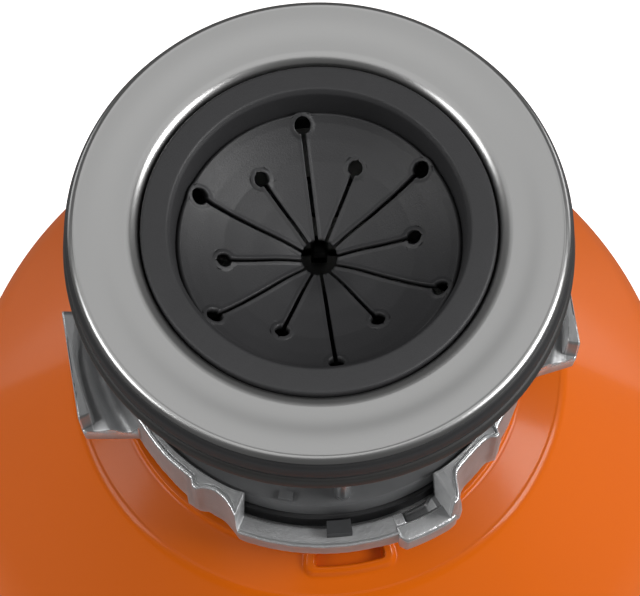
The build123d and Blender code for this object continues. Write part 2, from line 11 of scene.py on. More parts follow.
import bmesh
import bpy
import numpy as np
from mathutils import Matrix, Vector


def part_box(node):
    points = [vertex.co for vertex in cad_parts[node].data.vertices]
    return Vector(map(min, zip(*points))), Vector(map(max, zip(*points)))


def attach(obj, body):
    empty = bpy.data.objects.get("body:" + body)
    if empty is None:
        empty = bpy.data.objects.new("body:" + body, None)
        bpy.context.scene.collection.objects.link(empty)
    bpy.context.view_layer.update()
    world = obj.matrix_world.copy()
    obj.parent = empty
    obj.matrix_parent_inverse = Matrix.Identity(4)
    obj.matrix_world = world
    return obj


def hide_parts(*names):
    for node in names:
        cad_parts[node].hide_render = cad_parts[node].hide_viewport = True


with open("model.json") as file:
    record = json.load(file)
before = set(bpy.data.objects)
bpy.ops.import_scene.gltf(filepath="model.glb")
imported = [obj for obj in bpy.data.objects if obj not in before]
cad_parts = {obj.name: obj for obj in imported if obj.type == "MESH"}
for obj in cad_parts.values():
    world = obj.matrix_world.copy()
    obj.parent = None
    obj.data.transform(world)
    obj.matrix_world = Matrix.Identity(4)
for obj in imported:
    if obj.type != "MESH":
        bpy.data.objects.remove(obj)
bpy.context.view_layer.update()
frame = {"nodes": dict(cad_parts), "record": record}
nodes = frame["nodes"]
MM = 0.001
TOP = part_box("sink_flange")[1].z
print("pieces of the working model:", len(nodes), "flange height", round(TOP, 4))

# %% [markdown]
# Every new piece is a grid of points that becomes a mesh. A ring is a closed outline carried round
# the throat's axis, so one helper turns two arrays, radius and height for each angle and outline
# point, into faces.

# %% Turning arrays into meshes
def grid_faces(rows, cols, wrap_rows, wrap_cols):
    """Four-cornered faces of a grid: corner (i, j) joins (i, j+1), (i+1, j+1) and (i+1, j)."""
    i = np.arange(rows if wrap_rows else rows - 1)[:, None]
    j = np.arange(cols if wrap_cols else cols - 1)[None, :]
    i2, j2 = (i + 1) % rows, (j + 1) % cols
    quads = np.stack([i * cols + j, i * cols + j2, i2 * cols + j2, i2 * cols + j], axis=-1)
    return quads.reshape(-1, 4)


def mesh_piece(name, points, faces, body, edge=None):
    """An object from an (n, 3) array in metres and a list of faces, riding on a body."""
    mesh = bpy.data.meshes.new(name)
    mesh.from_pydata(points.tolist(), [], [list(map(int, f)) for f in faces])
    mesh.shade_smooth()
    if edge is not None:
        # How sharp each point's corner is; finishes with pale edges paint highlights from it.
        edge_sharpness = mesh.attributes.new("edge", "FLOAT", "POINT")
        edge_sharpness.data.foreach_set("value", np.ascontiguousarray(edge, dtype=np.float32))
    piece = bpy.data.objects.new(name, mesh)
    bpy.context.scene.collection.objects.link(piece)
    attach(piece, body)
    return piece


def soften(radius, height, cut, passes=1):
    """Round a closed outline: corner P becomes a, (a + 2P + b) / 4 and b, with a and b a cut away from P.

    The third array is how sharp the corner was: the sine of its turn, and 0.35 of that beside it.
    """
    before_r, after_r = np.roll(radius, 1, axis=1), np.roll(radius, -1, axis=1)
    before_z, after_z = np.roll(height, 1, axis=1), np.roll(height, -1, axis=1)

    def step(r1, z1):
        length = np.hypot(r1 - radius, z1 - height) + 1e-9
        share = np.minimum(cut, 0.45 * length) / length
        return radius + (r1 - radius) * share, height + (z1 - height) * share

    ar, az = step(before_r, before_z)
    br, bz = step(after_r, after_z)
    r = np.stack([ar, (ar + 2 * radius + br) / 4, br], axis=2).reshape(len(radius), -1)
    z = np.stack([az, (az + 2 * height + bz) / 4, bz], axis=2).reshape(len(radius), -1)
    turn = np.abs((radius - before_r) * (after_z - height) - (height - before_z) * (after_r - radius))
    turn = turn / ((np.hypot(radius - before_r, height - before_z) + 1e-6)
                   * (np.hypot(after_r - radius, after_z - height) + 1e-6))
    edge = np.stack([0.35 * turn, turn, 0.35 * turn], axis=2).reshape(len(radius), -1)
    if passes > 1:
        r, z, _ = soften(r, z, cut * 0.3, passes - 1)
        edge = np.repeat(edge, 3, axis=1)
    return r, z, edge


def carried(angles, radius, height, closed_ring=True):
    """Points of an outline carried round Z: x = r cos a, y = r sin a, z = h, from millimetres, and its faces.

    A run that doesn't close on itself gets a face at each end.
    """
    a = np.radians(angles)[:, None]
    x, y = radius * np.cos(a), radius * np.sin(a)
    points = np.stack([x, y, height + 0 * x], axis=-1).reshape(-1, 3) * MM
    rows, cols = radius.shape
    faces = grid_faces(rows, cols, closed_ring, True)[:, ::-1].tolist()
    if not closed_ring:
        faces.append(list(range(cols)))
        faces.append(list(range((rows - 1) * cols, rows * cols))[::-1])
    return points, faces


def lathe(name, outline, body, cut=0.5, passes=2, count=192):
    """A ring with the same outline all round: a list of (radius, height from the flange's top) in mm."""
    pairs = np.array(outline, float)
    angles = np.linspace(0, 360, count, endpoint=False)
    radius = np.repeat(pairs[None, :, 0], count, axis=0)
    height = np.repeat(pairs[None, :, 1], count, axis=0) + TOP / MM
    radius, height, edge = soften(radius, height, cut, passes)
    points, faces = carried(angles, radius, height)
    return mesh_piece(name, points, faces, body, edge=edge.ravel())


# %% [markdown]
# Real surfaces are never one flat value. These three node groups hold the effects that several
# finishes share: a soft mottling, a fine grain that raises the surface, and pale edges: painted
# highlights along sharp corners, which on the castings also stand for worn metal.

# %% Shared shader groups
def group(name, inputs, outputs):
    """An empty node group with float or colour sockets, and its input and output nodes."""
    made = bpy.data.node_groups.new(name, "ShaderNodeTree")
    for title, kind, value in inputs:
        socket = made.interface.new_socket(title, in_out="INPUT", socket_type="NodeSocket" + kind)
        socket.default_value = value
    for title, kind in outputs:
        made.interface.new_socket(title, in_out="OUTPUT", socket_type="NodeSocket" + kind)
    return made, made.nodes.new("NodeGroupInput"), made.nodes.new("NodeGroupOutput")


def noise(tree, scale, detail=4.0, rough=0.6):
    """A noise node on Object coordinates; its scale may be a number or a socket."""
    where = tree.nodes.new("ShaderNodeTexCoord")
    made = tree.nodes.new("ShaderNodeTexNoise")
    made.inputs["Detail"].default_value = detail
    made.inputs["Roughness"].default_value = rough
    tree.links.new(where.outputs["Object"], made.inputs["Vector"])
    if isinstance(scale, (int, float)):
        made.inputs["Scale"].default_value = scale
    else:
        tree.links.new(scale, made.inputs["Scale"])
    return made.outputs["Fac"]


def sum_of(tree, kind, a, b, clamp=False):
    """A Math node of that kind on two sockets or numbers."""
    made = tree.nodes.new("ShaderNodeMath")
    made.operation = kind
    made.use_clamp = clamp
    for socket, value in zip(made.inputs, (a, b)):
        if isinstance(value, (int, float)):
            socket.default_value = value
        else:
            tree.links.new(value, socket)
    return made.outputs[0]


def mottling():
    """Colour = base x (1 + amount x (noise - 0.5)); Roughness = rough + spread x (noise - 0.5)."""
    made, source, out = group(
        "mottling",
        [("Colour", "Color", (0.5, 0.5, 0.5, 1)), ("Amount", "Float", 0.1), ("Scale", "Float", 60.0),
         ("Roughness", "Float", 0.5), ("Spread", "Float", 0.1)],
        [("Colour", "Color"), ("Roughness", "Float")])
    cloud = sum_of(made, "SUBTRACT", noise(made, source.outputs["Scale"]), 0.5)
    gain = sum_of(made, "ADD", sum_of(made, "MULTIPLY", cloud, source.outputs["Amount"]), 1.0)
    tint = made.nodes.new("ShaderNodeVectorMath")
    tint.operation = "SCALE"
    made.links.new(source.outputs["Colour"], tint.inputs[0])
    made.links.new(gain, tint.inputs["Scale"])
    made.links.new(tint.outputs[0], out.inputs["Colour"])
    rough = sum_of(made, "MULTIPLY", cloud, source.outputs["Spread"])
    made.links.new(sum_of(made, "ADD", rough, source.outputs["Roughness"], True), out.inputs["Roughness"])
    return made


def grain():
    """Height = coarse x noise at Scale + fine x noise at five times Scale, for a Bump node."""
    made, source, out = group("grain", [("Scale", "Float", 800.0), ("Fine", "Float", 0.4)],
                              [("Height", "Float")])
    coarse = noise(made, source.outputs["Scale"], 2.0)
    small = noise(made, sum_of(made, "MULTIPLY", source.outputs["Scale"], 5.0), 2.0)
    part = sum_of(made, "MULTIPLY", small, source.outputs["Fine"])
    made.links.new(sum_of(made, "ADD", coarse, part), out.inputs["Height"])
    return made


def bright_edges():
    """Mask of pale edges that paint highlights (on castings also wear): the mesh's own edge value, broken up
    by noise: edge x (0.6 + 0.8 noise), sharpened.
    """
    made, source, out = group("bright edges", [("Amount", "Float", 1.0), ("Scale", "Float", 300.0)],
                              [("Mask", "Float")])
    edge = made.nodes.new("ShaderNodeAttribute")
    edge.attribute_name = "edge"
    broken = sum_of(made, "ADD", sum_of(made, "MULTIPLY", noise(made, source.outputs["Scale"]), 0.8), 0.6)
    mask = sum_of(made, "MULTIPLY", sum_of(made, "MULTIPLY", edge.outputs["Fac"], broken),
                  source.outputs["Amount"])
    made.links.new(sum_of(made, "POWER", mask, 1.6, True), out.inputs["Mask"])
    return made


MOTTLING, GRAIN, EDGES = mottling(), grain(), bright_edges()
print("shader groups:", [g.name for g in bpy.data.node_groups])

# %% [markdown]
# One recipe covers most finishes: a mottled colour and roughness, a grain through a Bump node and,
# for castings and rubbers, pale edges painted as highlights. Each finish then has its own values on the
# shader's plain sockets.

# %% The finish recipe
FINISHES = {}


EDGE_POLISH = 0.25      # how much smoother a bright edge is


def put(tree, which, **values):
    """Place a shared group in a material and set its named inputs."""
    made = tree.nodes.new("ShaderNodeGroup")
    made.node_tree = which
    for title, value in values.items():
        made.inputs[title].default_value = value
    return made


def finish(slot, colour, rough, metal=0.0, mottle=0.1, mottle_scale=60.0, spread=0.08, grain_scale=900.0,
           grain_fine=0.4, raise_mm=0.01, edges=0.0, edge_colour=(0.85, 0.86, 0.87), **plain):
    """A Principled material for one slot; plain holds values for the shader's own sockets."""
    material = bpy.data.materials.new(slot)
    material.use_nodes = True
    tree = material.node_tree
    shader = tree.nodes["Principled BSDF"]
    cloud = put(tree, MOTTLING, Colour=(*colour, 1), Amount=mottle, Scale=mottle_scale, Roughness=rough,
                Spread=spread)
    tone, dull = cloud.outputs["Colour"], cloud.outputs["Roughness"]
    # Pale edges: painted highlights along sharp corners, on the castings also worn metal; they are made
    # smoother too.
    if edges:
        mask = put(tree, EDGES, Amount=edges).outputs["Mask"]
        mix = tree.nodes.new("ShaderNodeMix")
        mix.data_type = "RGBA"
        mix.inputs["B"].default_value = (*edge_colour, 1)
        tree.links.new(mask, mix.inputs["Factor"])
        tree.links.new(tone, mix.inputs["A"])
        tone = mix.outputs["Result"]
        dull = sum_of(tree, "SUBTRACT", dull, sum_of(tree, "MULTIPLY", mask, EDGE_POLISH), True)
    tree.links.new(tone, shader.inputs["Base Color"])
    tree.links.new(dull, shader.inputs["Roughness"])
    bump = tree.nodes.new("ShaderNodeBump")
    bump.inputs["Strength"].default_value = 1.0
    bump.inputs["Distance"].default_value = raise_mm * MM
    skin = put(tree, GRAIN, Scale=grain_scale, Fine=grain_fine)
    tree.links.new(skin.outputs["Height"], bump.inputs["Height"])
    tree.links.new(bump.outputs["Normal"], shader.inputs["Normal"])
    shader.inputs["Metallic"].default_value = metal
    for title, value in plain.items():
        shader.inputs[title.replace("_", " ")].default_value = value
    FINISHES[slot] = material
    return material


# %% [markdown]
# Dark rubbers and fibre have faint pale edges, which are painted highlights; the castings have strong
# ones, painted highlights and worn metal both. The orange is a coated plastic with little reflection of
# its own, so that its colour stays deep where it faces the lights.

# %% The finishes of this machine
finish("flange_steel", (0.56, 0.56, 0.555), 0.30, metal=1.0, mottle=0.03, mottle_scale=25.0, spread=0.03,
       grain_scale=3000.0, raise_mm=0.0006)
# The rubbers' edge_colour is a painted highlight along their sharp edges.
finish("black_rubber", (0.022, 0.022, 0.023), 0.48, mottle=0.25, mottle_scale=90.0, raise_mm=0.012,
       edges=0.35, edge_colour=(0.16, 0.16, 0.165))
finish("fibre", (0.024, 0.023, 0.022), 0.55, mottle=0.3, mottle_scale=120.0, raise_mm=0.015,
       edges=0.3, edge_colour=(0.12, 0.12, 0.12))
finish("baffle_rubber", (0.040, 0.040, 0.042), 0.46, mottle=0.18, mottle_scale=120.0, spread=0.12,
       grain_scale=2200.0, grain_fine=0.7, raise_mm=0.05)
finish("mount_steel", (0.12, 0.122, 0.125), 0.55, metal=0.25, mottle=0.45, mottle_scale=110.0, spread=0.2,
       raise_mm=0.012)
finish("zinc_steel", (0.66, 0.67, 0.68), 0.28, metal=1.0, mottle=0.12, mottle_scale=150.0, raise_mm=0.004)
finish("spring_steel", (0.38, 0.38, 0.40), 0.30, metal=1.0, mottle=0.12, raise_mm=0.003)
# The cast alloy's pale edge_colour is part worn metal, part painted highlight.
finish("cast_alloy", (0.43, 0.435, 0.44), 0.46, metal=0.75, mottle=0.55, mottle_scale=110.0, spread=0.25,
       grain_scale=650.0, grain_fine=0.5, raise_mm=0.14, edges=1.3, edge_colour=(0.92, 0.93, 0.94))
finish("chamber_alloy", (0.52, 0.53, 0.54), 0.44, metal=0.9, mottle=0.25, mottle_scale=70.0,
       grain_scale=700.0, raise_mm=0.06)
finish("stainless", (0.62, 0.62, 0.61), 0.26, metal=1.0, mottle=0.10, mottle_scale=200.0, raise_mm=0.003)
finish("bronze", (0.52, 0.36, 0.18), 0.38, metal=1.0, mottle=0.3, mottle_scale=400.0, raise_mm=0.02)
finish("orange_plastic", (0.76, 0.135, 0.0005), 0.36, mottle=0.03, mottle_scale=12.0, spread=0.03,
       grain_scale=260.0, grain_fine=0.1, raise_mm=0.002, Specular_IOR_Level=0.12, Coat_Weight=0.3,
       Coat_Roughness=0.12)
finish("black_plastic", (0.03, 0.03, 0.032), 0.5, mottle=0.2, mottle_scale=70.0, grain_scale=1500.0,
       raise_mm=0.03)
finish("elbow_plastic", (0.035, 0.035, 0.037), 0.38, mottle=0.15, grain_scale=1200.0, raise_mm=0.015)
finish("lamination", (0.17, 0.165, 0.16), 0.5, metal=0.5, mottle=0.3, mottle_scale=100.0, raise_mm=0.03)
finish("copper", (0.55, 0.17, 0.06), 0.3, metal=0.9, mottle=0.3, mottle_scale=500.0, grain_scale=1600.0,
       raise_mm=0.12, Coat_Weight=0.6)
finish("can_steel", (0.05, 0.05, 0.055), 0.33, mottle=0.15, raise_mm=0.006, Coat_Weight=0.3)
finish("cage_alloy", (0.60, 0.61, 0.62), 0.42, metal=1.0, mottle=0.2, raise_mm=0.05)
finish("foam", (0.12, 0.12, 0.125), 0.9, mottle=0.6, mottle_scale=500.0, grain_scale=500.0, raise_mm=0.5)
finish("red_plastic", (0.55, 0.02, 0.015), 0.3, mottle=0.1, raise_mm=0.004, Coat_Weight=0.4)
finish("grey_plastic", (0.03, 0.031, 0.033), 0.55, mottle=0.5, mottle_scale=300.0, raise_mm=0.06)
finish("green_screw", (0.03, 0.22, 0.06), 0.35, metal=0.4, mottle=0.15, raise_mm=0.005)
print("finishes:", len(FINISHES))


def wear(piece, slot):
    """Give a piece one finish on all its faces."""
    piece.data.materials.clear()
    piece.data.materials.append(FINISHES[slot])
    return piece


for entry in frame["record"]["subparts"]:
    wear(nodes[entry["node"]], entry["material_slot"])

# %% [markdown]
# The sink flange is a pressed steel dish. Its satin top falls a little towards the throat, then rolls
# over with a tight bright bend into the tube, and its outer rim is rolled under. The outline below is
# turned round the axis; more outline points near the bends give clean highlights.

# %% The sink flange
def flange_outline():
    """Top: steepness 3 + 4.5 exp(-((t - 0.55) / 0.22)^2) degrees, summed inwards; then a quarter-circle roll.

    t runs from 0 at the rim's inside to 1 where the roll starts.
    """
    rim_r, roll_r, roll = 55.4, 44.0, 3.0
    t = np.linspace(0, 1, 26)
    r_top = rim_r - t * (rim_r - roll_r)
    steep = np.radians(3.0 + 4.5 * np.exp(-((t - 0.55) / 0.22) ** 2))
    z_top = -0.16 - np.concatenate([[0], np.cumsum(np.tan(steep[1:])) * (r_top[0] - r_top[1])])
    bend = np.radians(np.linspace(80, 0, 12))
    r_roll = roll_r - roll * np.cos(bend)
    z_roll = z_top[-1] - 3.05 + roll * np.sin(bend)
    rolled = np.radians(np.linspace(0, 84, 9))
    rim = list(zip(55.55 + 1.6 * np.cos(rolled), -1.62 + 1.55 * np.sin(rolled)))
    tube = [(41.0, -20.0), (41.0, -31.0), (40.0, -31.6), (40.0, -32.4), (41.0, -33.0), (41.0, -63.8),
            (41.3, -64.0), (42.4, -64.0), (42.6, -63.7), (42.6, -63.0), (42.0, -63.0), (42.0, -61.0),
            (42.6, -61.0), (42.6, -7.0), (43.3, -4.6), (45.0, -3.3), (56.0, -1.68)]
    return list(zip(r_top, z_top)) + list(zip(r_roll, z_roll)) + tube + rim


flange = lathe("sink_flange_turned", flange_outline(), "housing", cut=0.12, passes=1, count=256)
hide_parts("sink_flange")
wear(flange, "flange_steel")
print("flange faces:", len(flange.data.polygons))

# %% [markdown]
# Two rubber gaskets lie under the flange. Their edges are soft, so the outline's corners are rounded
# more and a shallow bead runs round each side.

# %% The gaskets
GASKETS = {
    "flange_gasket": ("flange_gasket_moulded", "black_rubber", 0.5,
                      [(46.0, -8.75), (57.4, -8.75), (58.2, -8.3), (58.35, -6.0), (58.1, -3.2), (57.4, -2.05),
                       (56.9, -1.72), (46.0, -2.75)]),
    "lower_gasket": ("lower_gasket_moulded", "fibre", 0.45,
                     [(43.3, -13.4), (58.5, -13.4), (59.05, -12.9), (59.1, -11.0), (58.9, -9.5), (58.2, -8.9),
                      (43.3, -8.85)]),
}
for node, (name, slot, cut, outline) in GASKETS.items():
    gasket = lathe(name, outline, "housing", cut=cut)
    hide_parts(node)
    wear(gasket, slot)

# %% [markdown]
# The splash baffle is moulded rubber: a flat collar, a chamfered lip, a steep wall and a dished disc
# cut into twelve flaps. The slots end in round holes with a raised lip, so that they don't tear. The
# disc is a polar grid with one patch per flap; each patch's sides follow the slots, and Solidify
# gives it a thickness.

# %% The splash baffle
SHORT, LONG = (22.9, 1.75), (31.0, 1.9)     # how far out a slot's hole is, and the hole's radius
SLOT_HALF = 0.45                            # half the width of a slot
FIRST_SLOT, SLOT_STEP = 7.5, 30             # angles of the slots
WIDEST = 14.6                               # no slot's side turns further than this from its middle
DISH = ([4.5, 10, 16, 23, 28, 31.5, 33.3], [-22.5, -21.0, -19.6, -17.4, -15.0, -12.9, -11.4])


def slot_gap(radius, reach, hole):
    """Half the slot's width: SLOT_HALF along it, the hole's circle near its end, and nothing beyond."""
    circle = np.sqrt(np.maximum(hole**2 - (radius - reach) ** 2, 0))
    return np.where(radius < reach, np.maximum(SLOT_HALF, circle), circle)


def flap_height(radius, angle):
    """Height of the dish: the table DISH, less a sag at the flaps' tips that is deepest towards the front."""
    base = np.interp(radius, *DISH)
    sag = 1.1 * np.exp(-((radius - 4.5) / 4.0) ** 2) * (0.4 + 0.6 * np.cos(np.radians(angle - 262)))
    return base - sag


def flap_rows():
    """Radii of the rows: even runs, and rows at reach + hole sin(a) so that the holes come out round."""
    turn = np.radians(np.linspace(-90, 90, 17))
    rounds = [reach + hole * np.sin(turn) for reach, hole in (SHORT, LONG)]
    runs = [np.linspace(4.7, 20.9, 30), np.linspace(25.0, 28.8, 9), [33.05, 33.3]]
    return np.sort(np.concatenate(rounds + runs))[:, None]


def flaps():
    """Twelve patches between neighbouring slots, joined where the slots have ended.

    Height = the dish, a lip of 0.32 round each hole and a thin one of 0.16 along each slot.
    """
    radius = flap_rows()
    across = 0.5 - 0.5 * np.cos(math.pi * np.linspace(0, 1, 21)[None, :])
    points, faces, offset = [], [], 0
    for k in range(12):
        slots = [(FIRST_SLOT + SLOT_STEP * (k + side), LONG if (k + side) % 2 else SHORT) for side in (0, 1)]
        turn = [np.degrees(np.arcsin(np.minimum(slot_gap(radius, *end) / radius, 0.9))) for _, end in slots]
        low = slots[0][0] + np.minimum(turn[0], WIDEST)
        high = slots[1][0] - np.minimum(turn[1], WIDEST)
        angle = low + (high - low) * across
        height = flap_height(radius, angle)
        for where, (reach, hole) in slots:
            side = radius * np.abs(np.sin(np.radians(angle - where)))
            from_hole = np.hypot(side, radius - reach) - hole
            height = height + 0.32 * np.exp(-(from_hole / 0.55) ** 2)
            along = 1 / (1 + np.exp((radius - reach) / 0.4))
            height = height + 0.16 * np.exp(-((side - SLOT_HALF) / 0.45) ** 2) * along
        a = np.radians(angle)
        patch = np.stack([radius * np.cos(a), radius * np.sin(a), height + TOP / MM], axis=-1)
        points.append(patch.reshape(-1, 3) * MM)
        faces.append(grid_faces(*patch.shape[:2], False, False) + offset)
        offset += patch.shape[0] * patch.shape[1]
    return np.concatenate(points), np.concatenate(faces)


def weld(piece, distance):
    """Merge points that lie on each other."""
    shape = bmesh.new()
    shape.from_mesh(piece.data)
    bmesh.ops.remove_doubles(shape, verts=shape.verts, dist=distance)
    shape.to_mesh(piece.data)
    shape.free()


flap_points, flap_faces = flaps()
disc = mesh_piece("baffle_flaps", flap_points, flap_faces, "baffle")
weld(disc, 2e-6)
thick = disc.modifiers.new("rubber thickness", "SOLIDIFY")
thick.thickness = 0.0018
thick.offset = -1.0
COLLAR = [(40.8, -3.0), (40.6, -2.3), (40.2, -2.0), (34.7, -2.0), (33.8, -3.2), (33.5, -6.0), (33.2, -11.0),
          (32.6, -12.6), (32.8, -14.2), (34.6, -12.6), (35.2, -5.2), (38.4, -4.6), (38.4, -30.3), (40.5, -30.3)]
collar = lathe("baffle_collar", COLLAR, "baffle", cut=0.35)
for part in (disc, collar):
    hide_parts("splash_baffle")
    wear(part, "baffle_rubber")
print("baffle faces:", len(disc.data.polygons) + len(collar.data.polygons))

# %% [markdown]
# The lock ring is a rough die casting. Its outline changes all the way round: a low floor in the
# windows, a raised ramp wall between them with bulges, and thin ribs at the ramps' ends. So the
# outline's sizes are tables over the angle, read with interp, and the closed outline is carried round
# with them.

# %% The lock ring
WINDOWS = (37.0, 157.0, 277.0)              # middles of the three low windows
HALF = 27.85                                # half a window's width in degrees
STARTS = np.array([WINDOWS[0] + HALF, WINDOWS[1] + HALF, 303.0])
ENDS = np.array([w + 120 - HALF for w in WINDOWS])
SPANS = np.array([64.3, 64.3, 66.0])        # how far each raised part runs
INNER, BASE = 46.3, -75.0                   # the ring's bore and underside


def ring_angles():
    """Every degree, and close steps wherever the outline jumps."""
    marks = [184.9, 249.6, 303.9, 369.1, 64.9, 129.1, 236.0, 289.9, 324.0]
    fine = [m + d for m in marks for d in np.linspace(-2.4, 2.4, 33)]
    return np.unique(np.round(np.concatenate([np.arange(0, 360, 0.9), np.mod(fine, 360)]), 3))


def table(angles, pairs):
    """Read a table of (angle, value) that runs round the ring."""
    keys = np.array(pairs, float)
    return np.interp(angles, keys[:, 0], keys[:, 1], period=360)


# The tables give a radius in millimetres at an angle in degrees, straight between their points.
RIDGE = [(150, 53.2), (184.9, 53.2), (215.0, 52.9), (219.8, 53.2), (226.3, 53.6), (230.1, 53.6),
         (233.6, 53.7), (234.8, 53.9), (236.1, 55.2), (237.3, 55.4), (238.6, 54.3), (240.5, 53.6),
         (242.2, 53.5), (244.2, 53.9), (245.8, 54.6), (247.3, 55.6), (248.3, 56.5), (249.4, 57.4),
         (250.4, 57.5), (290, 57.7), (302.6, 60.0), (303.4, 60.0), (304.4, 59.6), (305.3, 58.6),
         (306.1, 57.1), (307.3, 54.9), (308.6, 53.8), (310.7, 53.3), (314.7, 52.9), (318.5, 52.9),
         (320.4, 53.2), (321.4, 53.6), (322.3, 54.8), (323.3, 55.0), (324.3, 53.6), (325.8, 53.2),
         (360, 53.2), (369.1, 53.2)]
FOOT = [(150, 53.3), (184.7, 53.3), (212.4, 52.9), (217.7, 52.9), (224.5, 53.1), (232.0, 53.6),
        (233.6, 55.0), (237.4, 54.9), (239.5, 54.0), (244.2, 54.2), (247.0, 55.4), (249.7, 57.0),
        (251, 57.2), (262, 57.2), (284, 57.4), (290.0, 57.8), (303, 59.6), (306, 59.6),
        (308.1, 58.2), (309.8, 55.0), (312.2, 54.0), (320.9, 53.7), (323.4, 55.2), (325.7, 54.7),
        (329.3, 53.5), (360, 53.3)]


def ring_sizes(a):
    """At each angle: raised (1) or window (0), degrees to the raised part's end, and the ridge and foot radius.

    Behind the tables' reach the ridge is 53.2, flaring by up to 3.2 over the last 6 degrees.
    """
    since = np.mod(a[:, None] - STARTS, 360)
    into = since.min(axis=1)
    span = SPANS[since.argmin(axis=1)]
    left = np.mod(ENDS - a[:, None], 360).min(axis=1)
    raised = np.clip(np.minimum(np.minimum(into, left), span - into) / 0.22 + 1, 0, 1)
    raised = np.where(into > span + 0.3, 0, raised)
    near = np.minimum(into, np.abs(span - into))
    back = (a < 184) & (a > 9.4)
    flare = np.clip(1 - near / 6.0, 0, 1) ** 2 * 3.2
    ridge = np.where(back, 53.2 + np.where(raised > 0, flare, 4.0), table(a, RIDGE))
    foot = np.where(back, 53.3 + np.where(raised > 0, flare * 0.9, 3.9), table(a, FOOT))
    return raised, near, ridge, foot


def outline_at(a, outline):
    """Radius and true height arrays, a row per angle, from outline points that may vary with the angle."""
    radius = np.stack([r + 0 * a for r, _ in outline], axis=1)
    height = np.stack([z + 0 * a for _, z in outline], axis=1) + TOP / MM
    return radius, height


def lock_ring():
    """Closed outline: under, up the outside, over the ridge's thin lip, in along the hook and back below it.

    Each pair below is one outline point, as its radius and its height at every angle. A ripple of a few
    hundredths keeps the outer wall from looking machined.
    """
    a = ring_angles()
    up, near, ridge, foot = ring_sizes(a)
    high = up > 0.5
    end_plate = high & (up * np.clip(1.6 - near / 0.55, 0, 1) > 0.5)
    pocket = (a > 293.0) & (a < 300.8)
    top = -67.0 + up * 12.9
    lip = 1.0 * up + 0.6 * (1 - up)
    dip = up * 0.9 * np.clip((near - 0.8) / 2.0, 0, 1)
    hook_in = np.where(high, 50.5, 52.4)
    deck = np.where(pocket, -71.9, np.where(high, top - dip, top - 0.1))
    web_r = np.where(end_plate, 52.4, np.where(high, ridge - 1.4, 52.0))
    web_low = np.where(end_plate, 54.3, np.where(high, np.maximum(ridge - 1.4, 51.9), 51.9))
    outline = [(INNER, BASE), (foot - 0.6, BASE), (foot, -74.3), (foot * 0.65 + ridge * 0.35, -70.0),
               (ridge, top - 0.8), (ridge - 0.12, top), (ridge - lip, top), (ridge - lip - 0.4, deck - 0.1),
               (hook_in + 0.9, deck), (hook_in + 0.2, deck - 0.1),
               (hook_in, np.where(high, -56.3, np.where(pocket, -71.95, -68.0))),
               (web_r, np.where(high, -56.4, np.where(pocket, -72.0, -68.4))),
               (web_low, np.where(high, -66.0, np.where(pocket, -72.1, -68.6))),
               (51.8, np.where(pocket, -72.2, -69.5)), (51.8, -72.3), (INNER, -72.3)]
    radius, height, edge = soften(*outline_at(a, outline), 0.42, 2)
    around = a[:, None]
    ripple = 0.05 * np.sin(around * 0.9) * np.cos(height * 1.1) + 0.03 * np.sin(around * 2.3 + height)
    points, faces = carried(a, radius + ripple * (radius > 52.5), height)
    return mesh_piece("lock_ring_cast", points, faces, "lock", edge=edge.ravel())


WING_AXIS = 279.0


def lock_wing(name, turn):
    """A block beside the ring: its top is a height field with a flat lip outside and cast waves inside.

    t is the angle from the middle between the wings, and turn (1 or -1) picks the side. The wing's long
    side lies 63.25 from the ring's axis and its end 28.9 from a line through that axis.
    """
    t = np.concatenate([np.linspace(-99, -74.6, 24), np.linspace(-74.3, -73.0, 12),
                        np.linspace(-72.7, -66.4, 20)])
    inner, lip_top, web_top = 51.6, -55.6, -63.2
    side = 63.25 / np.cos(np.radians(t + 88.5))
    end = 28.9 / np.maximum(np.abs(np.sin(np.radians(t + 99.0))), 0.05) + 200 * (t < -80)
    outer = np.minimum(np.minimum(side, end), 65.4)[:, None]
    lip_in = np.interp(t, [-99, -96, -90.3, -75, -72], [60.2, 60.5, 61.6, 61.8, 62.6])[:, None]
    lip_in = np.minimum(lip_in, outer - 0.9)
    web_u, lip_u = np.linspace(0, 1, 22), np.linspace(0, 1, 7)
    radius = np.concatenate([inner + (lip_in - 0.1 - inner) * web_u,
                             lip_in + 0.25 + (outer - lip_in - 0.25) * lip_u], axis=1)
    wave = 1.5 * np.cos((radius - 52) * 0.75 + 0.03 * (t[:, None] + 80))
    web = web_top + wave * np.clip((62 - radius) / 4, 0, 1)
    web = web - 0.8 * np.clip((radius - 58) / 5, 0, 1) + 2.0 * np.clip((54.5 - radius) / 2.5, 0, 1)
    lip = np.clip((-73.3 - t) / 0.4, 0, 1)[:, None] * (np.arange(radius.shape[1]) >= len(web_u))
    height = web * (1 - lip) + lip_top * lip
    under = 0 * outer
    radius[:, -1] -= 0.4
    radius = np.concatenate([radius, outer, outer - 0.3, outer - 0.9, inner + under], axis=1)
    height = np.concatenate([height, height[:, -1:] - 0.5, -69.6 + under, -70.6 + under, -72.0 + under],
                            axis=1) + TOP / MM
    # The lip's inner and outer edges get an edge value by row, for the painted highlights along them.
    edge = np.zeros_like(radius)
    edge[:, 22] = 0.6
    edge[:, 28:30] = 0.8
    angles = t + WING_AXIS if turn > 0 else WING_AXIS - t
    points, faces = carried(angles, radius, height, closed_ring=False)
    if turn > 0:
        faces = [f[::-1] for f in faces]
    return mesh_piece(name, points, faces, "lock", edge=edge.ravel())


